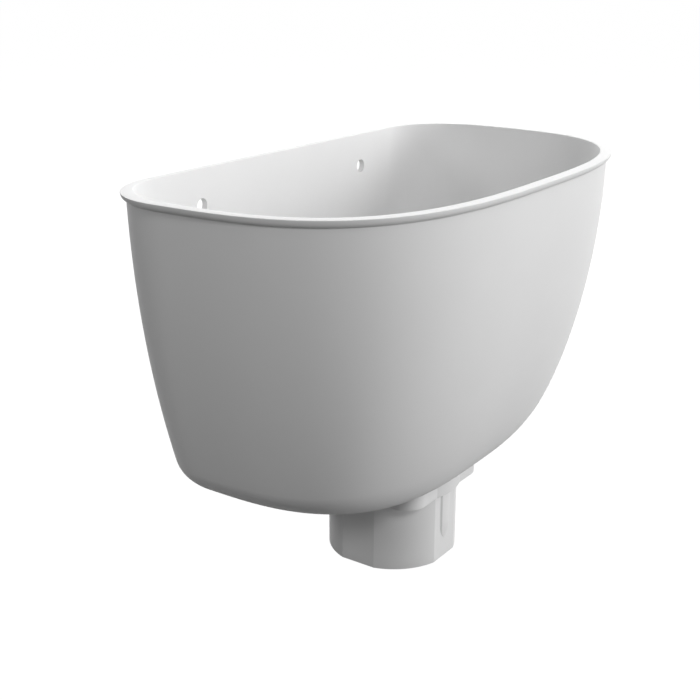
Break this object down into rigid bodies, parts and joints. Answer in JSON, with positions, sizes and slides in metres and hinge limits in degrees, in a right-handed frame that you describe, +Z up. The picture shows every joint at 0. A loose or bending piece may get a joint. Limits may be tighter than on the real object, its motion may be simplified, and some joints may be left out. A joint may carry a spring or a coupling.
{
  "type": "downpipe hopper head",
  "caption": "D-shaped moulded bowl that is screwed to a wall through its flat back, collects rainwater and waste water and leads it through a spigot into a round or square downpipe.",
  "frame": {"origin": "on the wall face of the flat back, midway between the two screw holes", "axes": "+X along the wall, +Y into the wall, +Z up; the bowed front of the bowl faces -Y and the outlet points along -Z"},
  "size_m": [0.264, 0.145, 0.193],
  "materials": {
    "white_pvc": "satin, as moulded PVC-U"
  },
  "bodies": {
    "root": {"hopper_head": "white_pvc"}
  },
  "joints": []
}
